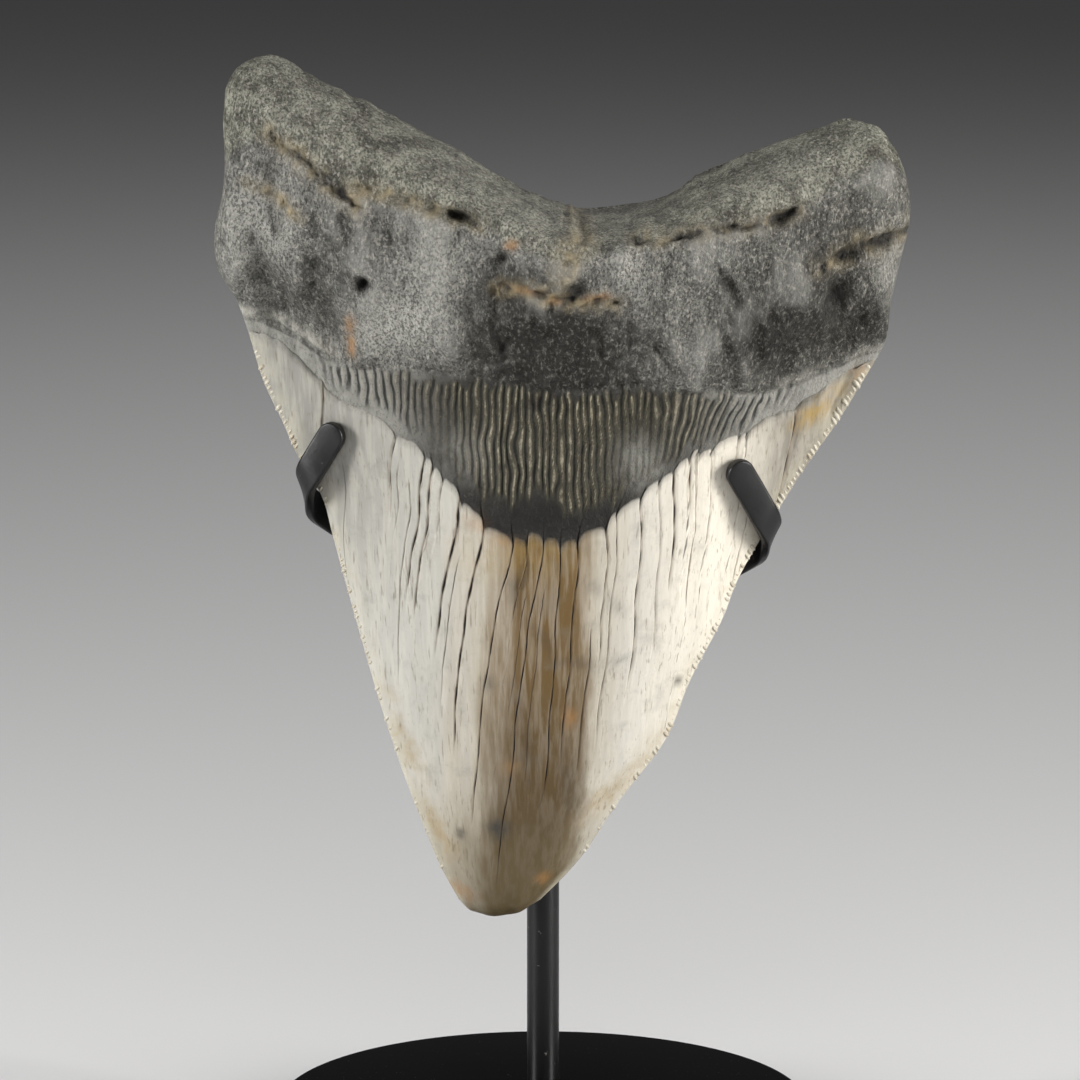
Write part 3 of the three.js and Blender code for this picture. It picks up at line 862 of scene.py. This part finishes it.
grid, out = face_grid(across, up, True)
u, v = grid[..., 0], grid[..., 1]
TALL = 115.0
over_enamel = (up - through(ENAMEL_BORDER, across) - (borders[0] - through(ENAMEL_BORDER, at_border))) * TALL
over_collar = (up - borders[1]) * TALL
over_brow = (up - borders[2]) * TALL
inward = np.minimum(across, 1 - across) * split_width[:, None]
at_side = smooth(0, 2.5, inward)
crown = 1 - smooth(-0.15, 0.2, over_enamel)
collar = (1 - crown) * (1 - smooth(-0.3, 0.3, over_collar))
root = 1 - crown - collar
front_face = root * (1 - smooth(-1, 2, over_brow))

# What the years did to the faces: split and stained enamel, a worn collar, and a root of pitted and cracked
# bone.
rise = -SPLIT_DEPTH * split
waves = 0.12 * lumps(u, v * 0.12, 2.1, 21) + 0.12 * lumps(u, v, 9, 22) + 0.03 * lumps(u, v, 0.9, 23)
rise += crown * waves * at_side
rise += -0.38 * (1 - crown) * np.exp(-np.clip(over_enamel, 0, 99) / 3.5) * at_side
rise += -0.3 * bell(over_collar, 0.2, 0.6) * at_side * smooth(0.08, 0.2, across)
folds = 0.95 * lumps(u + 0.12 * v, v * 0.22, 4.6, 31) + 0.6 * lumps(u, v, 9.5, 32)
folds += 0.5 * lumps(u + 0.1 * v, v * 0.35, 2.2, 33) + 0.26 * lumps(u + 0.1 * v, v * 0.5, 1.3, 39)
grain = 0.12 * lumps(u, v * 0.6, 0.95, 34) + 0.07 * lumps(u, v * 0.8, 0.5, 35)
rise += root * at_side * (folds * (0.35 + 0.65 * front_face) + grain)
rise += root * at_side * 0.8 * bell(over_brow, -0.8, 1.5) * (0.6 + 0.4 * lumps(u, v * 0, 5, 36))
rise -= root * at_side * 0.5 * bell(over_brow, 1.8, 1.6) * (0.6 + 0.4 * lumps(u, v * 0, 4, 38))
rise += root * at_side * (1 - front_face) * 0.16 * lumps(u * 0.35, over_brow, 1.1, 37)
margin = bell(over_collar, 1.4, 0.9) * (1 - smooth(0.1, 0.17, across))
margin += 0.6 * bell(over_collar, 0.8, 0.7) * smooth(0.8, 0.9, across)
rise += 0.45 * margin * at_side * (1 + 0.5 * lumps(u, v, 1.4, 41))
rise += 0.22 * collar * (1 - smooth(0.12, 0.22, across)) * lumps(u, v, 1.1, 42) * at_side
hollow = spread_over(u, v, [blot[:6] for blot in HOLLOWS], 0.16)
rise -= hollow * at_side
cavity = spread_over(u, v, [(*blot[:5], blot[6]) for blot in HOLLOWS], 0.16)
mineral = np.zeros_like(u)
for points, half, depth, dark, pale in ROOT_CRACKS:
    far = from_line(u, v, points)
    broken = smooth(-0.75, 0.05, lumps(u, v, 1.5, int(half * 100)))
    rise -= depth * broken * np.exp(-((far / half) ** 2)) * at_side
    rise += 0.22 * np.exp(-(((far - 2.4 * half) / (1.1 * half)) ** 2)) * at_side
    cavity += dark * broken * np.exp(-((far / half * 0.9) ** 2))
    patchy = 0.35 + 0.65 * smooth(-0.3, 0.5, lumps(u, v, 1.2, 63))
    mineral += pale * patchy * np.exp(-((far / half / 2.6) ** 2))
orange = spread_over(u, v, ORANGE_STAINS, 0.35)
tan = spread_over(u, v, TAN_STAINS, 0.35)
dark = spread_over(u, v, DARK_STAINS, 0.3)
pale_area = spread_over(u, v, PALE_AREAS, 0.25)
dark_area = spread_over(u, v, DARK_AREAS, 0.25)
chipped = (1 - smooth(0, 1, np.hypot((u - 55.5) / 4.5, (v - 84.5) / 7.5))) * crown
rise -= 0.75 * chipped * (1 + lumps(u, v, 1.3, 71)) * smooth(0.3, 1.6, inward)
front_points = grid + out * rise[..., None]

# The back: flatter, with plain enamel that reaches higher, and the same bone above it.
step = (len(columns) - 1) // BACK_COLUMNS
back_columns = columns[::step]
to_left, to_right = 1 - smooth(0, 0.1, back_columns), smooth(0.9, 1, back_columns)
back_lines = []
back_border = through(BACK_BORDER, back_columns)
for line, middle in zip(borders, (back_border, back_border + 0.03, 0.9)):
    middle = middle + 0.004 * lumps(back_columns * 95, back_columns * 0, 2.0, 51)
    back_lines.append(middle + (line[0] - middle) * to_left + (line[-1] - middle) * to_right)
back_up = row_heights(back_columns, back_lines)
back_across = np.broadcast_to(back_columns, back_up.shape)
back_grid, back_out = face_grid(back_across, back_up, False)
bu, bv = back_grid[..., 0], back_grid[..., 1]
back_over = (back_up - back_lines[0]) * TALL
back_crown = 1 - smooth(-0.2, 0.3, back_over)
back_side = smooth(0, 3, np.minimum(back_across, 1 - back_across) * split_width[:, None])
back_rise = back_crown * (0.12 * lumps(bu, bv * 0.15, 2.6, 81) + 0.15 * lumps(bu, bv, 11, 82))
back_bone = 0.5 * lumps(bu, bv * 0.5, 6, 83) + 0.3 * lumps(bu, bv, 2.4, 84) - 0.35 * np.exp(-back_over / 4)
back_rise += (1 - back_crown) * back_bone
back_points = back_grid + back_out * (back_rise * back_side)[..., None]

# One closed skin: the back shares the rim with the front, and each of its end cells takes in several of the
# front's.
high, wide = up.shape
front_number = np.arange(high * wide).reshape(high, wide)
back_number = np.full(back_up.shape, -1)
inside = np.s_[1:-1, 1:-1]
back_number[inside] = high * wide + np.arange((high - 2) * (len(back_columns) - 2)).reshape(high - 2, -1)
back_number[:, 0], back_number[:, -1] = front_number[:, 0], front_number[:, -1]
back_number[0], back_number[-1] = front_number[0, ::step], front_number[-1, ::step]
n = front_number
quads = np.stack([n[:-1, :-1], n[:-1, 1:], n[1:, 1:], n[1:, :-1]], -1)
tooth_faces = quads.reshape(-1, 4).tolist()
n = back_number
quads = np.stack([n[1:-2, :-1], n[2:-1, :-1], n[2:-1, 1:], n[1:-2, 1:]], -1)
tooth_faces += quads.reshape(-1, 4).tolist()
for i in range(len(back_columns) - 1):
    foot = front_number[0, i * step : (i + 1) * step + 1].tolist()
    head = front_number[-1, i * step : (i + 1) * step + 1].tolist()
    tooth_faces.append([*foot, int(n[1, i + 1]), int(n[1, i])][::-1])
    tooth_faces.append([int(n[-2, i]), *head, int(n[-2, i + 1])])


def both(front, back):
    """One value for each point of the skin, from a grid of the front's and one of the back's."""
    return np.concatenate([front.reshape(-1, *front.shape[2:]), back[inside].reshape(-1, *back.shape[2:])])


skin = both(front_points, back_points)
tooth = placed("megalodon_tooth", in_frame(*skin.T), tooth_faces)
nothing = np.zeros_like(back_up)
rib_lean = 0.42 * smooth(16, 44, u) - 0.22 * smooth(-8, -30, u)
rib_run = u - rib_lean * (v - 82) + 0.25 * lumps(u, v * 0.5, 5, 91)
rib_room = smooth(0.5, 3.0, over_enamel + 1.6 * lumps(u, v * 0, 1.8, 92) - 4.6 * bell(u, 7, 16))
rib_mask = rib_room * (1 - smooth(-0.6, 0.4, over_collar + 1.6 * lumps(u, v * 0, 1.3, 93)))
rib_mask *= smooth(0.07, 0.16, across) * (1 - smooth(0.85, 0.93, across)) * (1 - crown)
rib_mask *= 1 - 0.75 * bell(u, -9, 5) * bell(v, 78, 6) - 0.6 * bell(u, 23, 4.5) * bell(v, 76, 6)
marks = {
    "crown": (crown, back_crown),
    "brow": (over_brow, (back_up - 0.96) * TALL),
    "inward": (inward, nothing + 9),
    "relief": (rise, back_rise),
}
only_in_front = {
    "collar": collar, "on_front": at_side, "split": split, "cavity": cavity, "mineral": mineral,
    "orange": orange, "tan": tan, "stain": dark, "rib_run": rib_run, "rib_mask": rib_mask,
    "margin": margin, "pale_area": pale_area, "dark_area": dark_area,
}
marks.update((name, (values, nothing)) for name, values in only_in_front.items())
for name, (in_front, behind) in marks.items():
    mark(tooth, name, both(in_front, behind))


fossil = Finish("fossil_tooth")

# The collar's ribs: wavy crests that run down from its top, some of which die out or join.
ribs = Shape("collar_ribs", Spacing=RIB_SPACING, Height=RIB_HEIGHT * MM, Wobble=0.5, Merging=0.9, Seed=3)
spot = ribs.node("GeometryNodeInputPosition")
sway = ribs.noise(150, detail=2, seed=ribs.given("Seed"), stretch=(1, 1, 0.7), place=spot)
knots = ribs.noise(420, detail=2, seed=ribs.given("Seed") + 9, stretch=(1, 1, 0.45), place=spot)
turns = ribs.named("rib_run") / ribs.given("Spacing") + (sway - 0.5) * ribs.given("Wobble") * 4
turns = turns + (knots - 0.5) * ribs.given("Merging")
crest = (turns * (2 * math.pi)).cosine() * 0.5 + 0.5
fading = ribs.noise(520, detail=1, seed=ribs.given("Seed") + 5, stretch=(1, 1, 0.3), place=spot)
fading = fading.rises(0.34, 0.56)
crest = crest ** 1.6
lift = (crest - 0.35) * (0.15 + 0.85 * fading) * ribs.named("rib_mask") * ribs.given("Height")
out_of_face = ribs.node("GeometryNodeInputNormal")
offset = ribs.node("ShaderNodeVectorMath", {"operation": "SCALE"}, {0: out_of_face, "Scale": lift})
moved = ribs.node("GeometryNodeSetPosition", (), {"Geometry": ribs.given("Geometry"), "Offset": offset})
kept = ribs.node(
    "GeometryNodeStoreNamedAttribute",
    {"data_type": "FLOAT", "domain": "POINT"},
    {"Geometry": moved, "Name": "rib", "Value": crest * ribs.named("rib_mask")},
)
ribs.apply(kept, tooth, fossil)

x_y_z = fossil.made.nodes.new("ShaderNodeSeparateXYZ")
fossil.made.links.new(fossil.place.socket, x_y_z.inputs[0])
side, height = Wire(fossil, x_y_z.outputs[0]), Wire(fossil, x_y_z.outputs[2])
crown, collar, split_line = (fossil.attribute(name) for name in ("crown", "collar", "split"))
brow, inward, relief = (fossil.attribute(name) for name in ("brow", "inward", "relief"))
on_front, rib = (fossil.attribute(name) for name in ("on_front", "rib"))
cloud = fossil.noise(70, detail=5, roughness=0.6)
mottle = fossil.noise(260, detail=5, roughness=0.65, seed=2)
speckle = fossil.noise(1700, detail=4, roughness=0.7, seed=4, stretch=(1, 1, 0.6))
grit = fossil.noise(2600, detail=3, roughness=0.75, seed=6, stretch=(1, 1, 0.7))
streak = fossil.noise(900, detail=4, seed=8, stretch=(1, 1, 0.045))
hairlines = fossil.noise(2300, detail=3, seed=14, stretch=(1, 1, 0.02))
broad_streak = fossil.noise(260, detail=4, seed=9, stretch=(1, 1, 0.1))

# Enamel: cool grey-white on the left, brown along the middle and ivory on the right. Part of the left's
# darker grey is painted shade, and the enamel is also painted grey as shade at its upper left and by the
# right arm's tip.
warm_and_lit_right = side.rises(0.006, 0.03)
lean = side + (0.085 - height) * 0.06 + (broad_streak - 0.5) * 0.01
brown = lean.rises(-0.0115, -0.0045) * (1 - lean.rises(0.004, 0.010))
brown = brown * (1 - height.rises(0.108, 0.125)) * on_front
tawny = lean.rises(-0.019, -0.006) * (1 - lean.rises(0.004, 0.015))
tawny = tawny * (1 - height.rises(0.105, 0.125)) * on_front
enamel = fossil.coats(
    # Grey-white to ivory from left to right: a colour change, and the left's darker tone is partly painted
    # shade.
    fossil.blend(warm_and_lit_right, shade(184, 182, 174), shade(220, 213, 199)),
    # Painted shade: the enamel's upper left is greyed as if it lay in shadow.
    ((1 - side.rises(-0.034, -0.012)) * height.rises(0.085, 0.118) * 0.62, shade(108, 107, 101)),
    # Painted shade: grey on the upper right enamel by the right arm's tip, for the arm's shadow.
    (side.rises(0.028, 0.04) * height.rises(0.096, 0.112) * 0.9, shade(112, 108, 98)),
    (tawny * (0.3 + broad_streak * 0.5), shade(160, 142, 110)),
    (brown * (0.8 + broad_streak * 0.4), shade(101, 80, 47)),
    ((streak - 0.44) * 1.1, shade(228, 222, 208)),
    (mottle.rises(0.5, 0.74) * 0.3, shade(116, 114, 106)),
    (brown * (1 - height.rises(0.058, 0.092)) * 0.65, shade(66, 55, 36)),
    ((1 - height.rises(0.044, 0.066)) * 0.55, shade(98, 88, 65)),
    ((1 - inward.rises(0.4, 3.2)) * mottle.rises(0.35, 0.65) * 0.4, shade(198, 190, 166)),
    (fossil.attribute("tan") * mottle.rises(0.3, 0.6), shade(158, 132, 78)),
    (fossil.attribute("stain") * (0.5 + mottle), shade(52, 52, 50)),
    (speckle.rises(0.58, 0.8) * 0.35, shade(92, 84, 68)),
    (hairlines.rises(0.56, 0.7) * 0.5, shade(104, 90, 68)),
    (streak.rises(0.58, 0.7) * (0.2 + brown * 0.5), shade(88, 70, 44)),
    (split_line.rises(0.1, 0.3) * 0.35, shade(110, 84, 52)),
    (split_line.rises(0.3, 0.75), shade(30, 24, 17)),
)

# Root: grey bone, paler on its worn crests, olive on its top, nearly black across the middle, and darker in
# its low places with painted shade.
pale_area, dark_area = (fossil.attribute(name).least(1.0) for name in ("pale_area", "dark_area"))
top_bone = fossil.blend(mottle.rises(0.35, 0.65), shade(70, 68, 56), shade(150, 150, 134))
bone = fossil.coats(
    fossil.blend(mottle.rises(0.3, 0.7), shade(70, 70, 66), shade(128, 127, 121)),
    (side.rises(0.012, 0.05) * 0.6, shade(60, 58, 51)),
    (pale_area * (0.48 + cloud * 0.8), shade(188, 187, 179)),
    (dark_area * (1.3 - mottle * 0.6), shade(24, 22, 17)),
    (brow.rises(-0.5, 2.0) * 0.75, top_bone),
    (speckle.rises(0.5, 0.62) * 0.42 * (1 - dark_area * 0.6), shade(196, 193, 182)),
    (grit.rises(0.47, 0.57) * 0.68, shade(24, 22, 18)),
    (fossil.attribute("margin").least(1.0) * mottle.rises(0.3, 0.55) * 0.8, shade(178, 176, 166)),
    (relief.rises(0.3, 1.3) * 0.3, shade(176, 175, 168)),
    # Painted shade: the bone is darkened where its surface lies low.
    ((1 - relief.rises(-1.4, -0.4)) * 0.4, shade(48, 46, 40)),
)

# Collar: near-black between pale crests, and smooth and bare just above the enamel.
ribbed = fossil.attribute("rib_mask")
left_grey = 1 - side.rises(-0.032, -0.01)
right_grey = side.rises(0.016, 0.036)
crests = fossil.blend(speckle.rises(0.3, 0.7), shade(104, 98, 80), shade(176, 168, 148))
sides = (left_grey + right_grey).least(1.0)
worn = 0.3 + speckle * 0.9
band = fossil.coats(
    fossil.blend(mottle.rises(0.3, 0.7), shade(32, 30, 28), shade(60, 57, 51)),
    (dark_area * 0.9, shade(10, 9, 8)),
    ((left_grey + right_grey + pale_area).least(1.0) * (0.5 + mottle * 0.6), shade(150, 149, 142)),
    (ribbed * (1 - sides) * (0.4 + mottle * 0.6), shade(62, 59, 42)),
    (ribbed * (1 - rib.rises(0.0, 0.26)) * 0.9, shade(12, 11, 8)),
    (ribbed * rib.rises(0.55, 0.95) * mottle.rises(0.3, 0.6) * worn * (1 - sides * 0.6), crests),
    (speckle.rises(0.55, 0.75) * 0.3 * (1 - dark_area), shade(132, 126, 108)),
    (grit.rises(0.52, 0.68) * 0.5, shade(28, 27, 24)),
)

colour = fossil.coats(
    fossil.blend(collar, bone, band),
    (fossil.attribute("mineral") * mottle.rises(0.32, 0.56) * 0.8, shade(164, 148, 114)),
    (crown, enamel),
    (fossil.attribute("orange") * (speckle * 1.3).least(0.85) * (1 - collar * 0.8), shade(152, 110, 62)),
    (fossil.attribute("cavity").least(1.0) * (0.5 + mottle * 0.8), shade(16, 14, 11)),
)
pebbles = fossil.noise(1900, detail=4, roughness=0.75, seed=12, stretch=(1, 1, 0.75))
pocks = fossil.noise(700, detail=4, roughness=0.6, seed=13, stretch=(1, 1, 0.7))
rough_bone = (1 - crown) * (1 - collar * 0.4)
fine = fossil.relief(pocks, 0.0009, strength=rough_bone)
fine = fossil.relief(pebbles, 0.0004, strength=rough_bone, under=fine)
fine = fossil.relief(streak, 0.00012, strength=crown * 0.8, under=fine)
fossil.set(
    Base_Color=colour,
    Roughness=0.5 - crown * 0.1 + (speckle - 0.5) * 0.4,
    Specular_IOR_Level=0.27,
    Normal=fine,
)
finished(tooth, "tooth")


# ---- Serrations
# The cutting edges carry fine, rounded teeth of their own, of the same enamel, a little over one to a
# millimetre. They are worn unevenly, and stop short of the tip.

SERRATION_PITCH = 0.85
SERRATION_SIZE = (0.42, 1.05, 0.6)
SERRATION_INSET = 0.85
SERRATION_LARGEST = 1.06

edge_points, edge_lines, edge_out = [], [], []
for column, outward_turn in ((0, 1), (-1, -1)):
    rows = [row for row in range(6, high) if up[row, column] < NECK - 0.005]
    rim = grid[rows, column]
    run = np.gradient(rim, axis=0)
    run /= np.linalg.norm(run, axis=1)[:, None]
    away = outward_turn * np.stack([-run[:, 1], run[:, 0], run[:, 2] * 0], -1) - 0.42 * run
    away /= np.linalg.norm(away, axis=1)[:, None]
    start = len(edge_points)
    edge_points += in_frame(*(rim - away * SERRATION_INSET).T).tolist()
    edge_out += np.stack([away[:, 0], -away[:, 2], away[:, 1]], -1).tolist()
    edge_lines += [(start + i, start + i + 1) for i in range(len(rows) - 1)]
serrations = placed("cutting_edge_serrations", edge_points, [], edge_lines)
mark(serrations, "outward", edge_out, "FLOAT_VECTOR")
edge_enamel = Finish("worn_edge_enamel")
edge_tone = edge_enamel.noise(700, detail=3)
edge_patch = edge_enamel.noise(160, detail=3, seed=3)
edge_colour = edge_enamel.blend(edge_tone, shade(140, 132, 112), shade(226, 220, 204))
edge_enamel.set(
    Base_Color=edge_enamel.blend(edge_patch.rises(0.5, 0.7) * 0.5, edge_colour, shade(150, 124, 82)),
    Roughness=0.36 + edge_patch * 0.1,
    Normal=edge_enamel.relief(edge_enamel.noise(2500, detail=3, seed=5), 0.0001),
)
teeth = Shape("serration_row", Pitch=SERRATION_PITCH * MM, Wear=0.5, Seed=5)
lump = teeth.node("GeometryNodeMeshUVSphere", (), {"Segments": 8, "Rings": 6, "Radius": MM})
lump = teeth.node("GeometryNodeTransform", (), {"Geometry": lump, "Scale": SERRATION_SIZE})
outward = teeth.named("outward", "FLOAT_VECTOR")
facing = {"Primary Axis": outward, "Secondary Axis": teeth.node("GeometryNodeInputTangent")}
turned = teeth.node("FunctionNodeAxesToRotation", {"primary_axis": "Y", "secondary_axis": "X"}, facing)
sockets = teeth.row(lump, 1 - teeth.given("Wear"), SERRATION_LARGEST)
placed_lumps = teeth.node("GeometryNodeInstanceOnPoints", (), {**sockets, "Rotation": turned})
teeth.apply(placed_lumps, serrations, edge_enamel)
finished(serrations)


# ---- Floor, lights and camera
# A pale table in a dim room. Two soft lights stand at the sides, and weaker ones in front, above and behind.

FLOOR = 3.0
floor_corners = [(-FLOOR, -FLOOR, 0), (FLOOR, -FLOOR, 0), (FLOOR, FLOOR, 0), (-FLOOR, FLOOR, 0)]
floor = placed("pale_floor", floor_corners, [[0, 1, 2, 3]])
table = Finish("pale_table")
table.set(Base_Color=shade(226, 226, 226), Roughness=0.6)
table.give(floor)


LIGHTS_AIM = (0.0, -0.01, 0.11)


def soft_light(name, place, size, watts, tint=(1, 1, 1)):
    lamp = bpy.data.lights.new(name, "AREA")
    lamp.shape = "RECTANGLE"
    lamp.size, lamp.size_y = size
    lamp.energy = watts
    lamp.color = tint
    light = bpy.data.objects.new(name, lamp)
    light.location = place
    x, y, z = np.array(place) - np.array(LIGHTS_AIM)
    light.rotation_euler = (math.atan2(math.hypot(x, y), z), 0, math.atan2(x, -y))
    bpy.context.scene.collection.objects.link(light)


soft_light("left_softbox", (-0.66, -0.26, 0.26), (0.16, 0.32), 5.6, (1.0, 0.995, 0.985))
soft_light("right_softbox", (0.62, -0.30, 0.24), (0.16, 0.32), 6.1, (1.0, 0.985, 0.965))
soft_light("front_fill", (0.0, -0.8, 0.75), (0.5, 0.5), 0.8)
soft_light("top_fill", (0.0, 0.0, 1.1), (0.6, 0.6), 1.8)
soft_light("back_fill", (0.25, 0.75, 1.1), (0.5, 0.5), 2.6)
world = bpy.data.worlds.new("dim_room")
world.use_nodes = True
world.node_tree.nodes["Background"].inputs["Color"].default_value = (0.8, 0.8, 0.8, 1)
world.node_tree.nodes["Background"].inputs["Strength"].default_value = 0.05
bpy.context.scene.world = world
bpy.context.scene.view_settings.view_transform = "Standard"

CAMERA_TILT = 10.1
CAMERA_DISTANCE = 0.9
CAMERA_LENS = 189.9
AIM = (-0.00049, -0.0097, 0.10305)
camera_data = bpy.data.cameras.new("camera")
camera_data.sensor_width = 36.0
camera_data.lens = CAMERA_LENS
camera = bpy.data.objects.new("camera", camera_data)
tilt = math.radians(CAMERA_TILT)
camera.location = (
    AIM[0],
    AIM[1] - CAMERA_DISTANCE * math.cos(tilt),
    AIM[2] + CAMERA_DISTANCE * math.sin(tilt),
)
camera.rotation_euler = (math.pi / 2 - tilt, 0, 0)
bpy.context.scene.collection.objects.link(camera)
bpy.context.scene.camera = camera
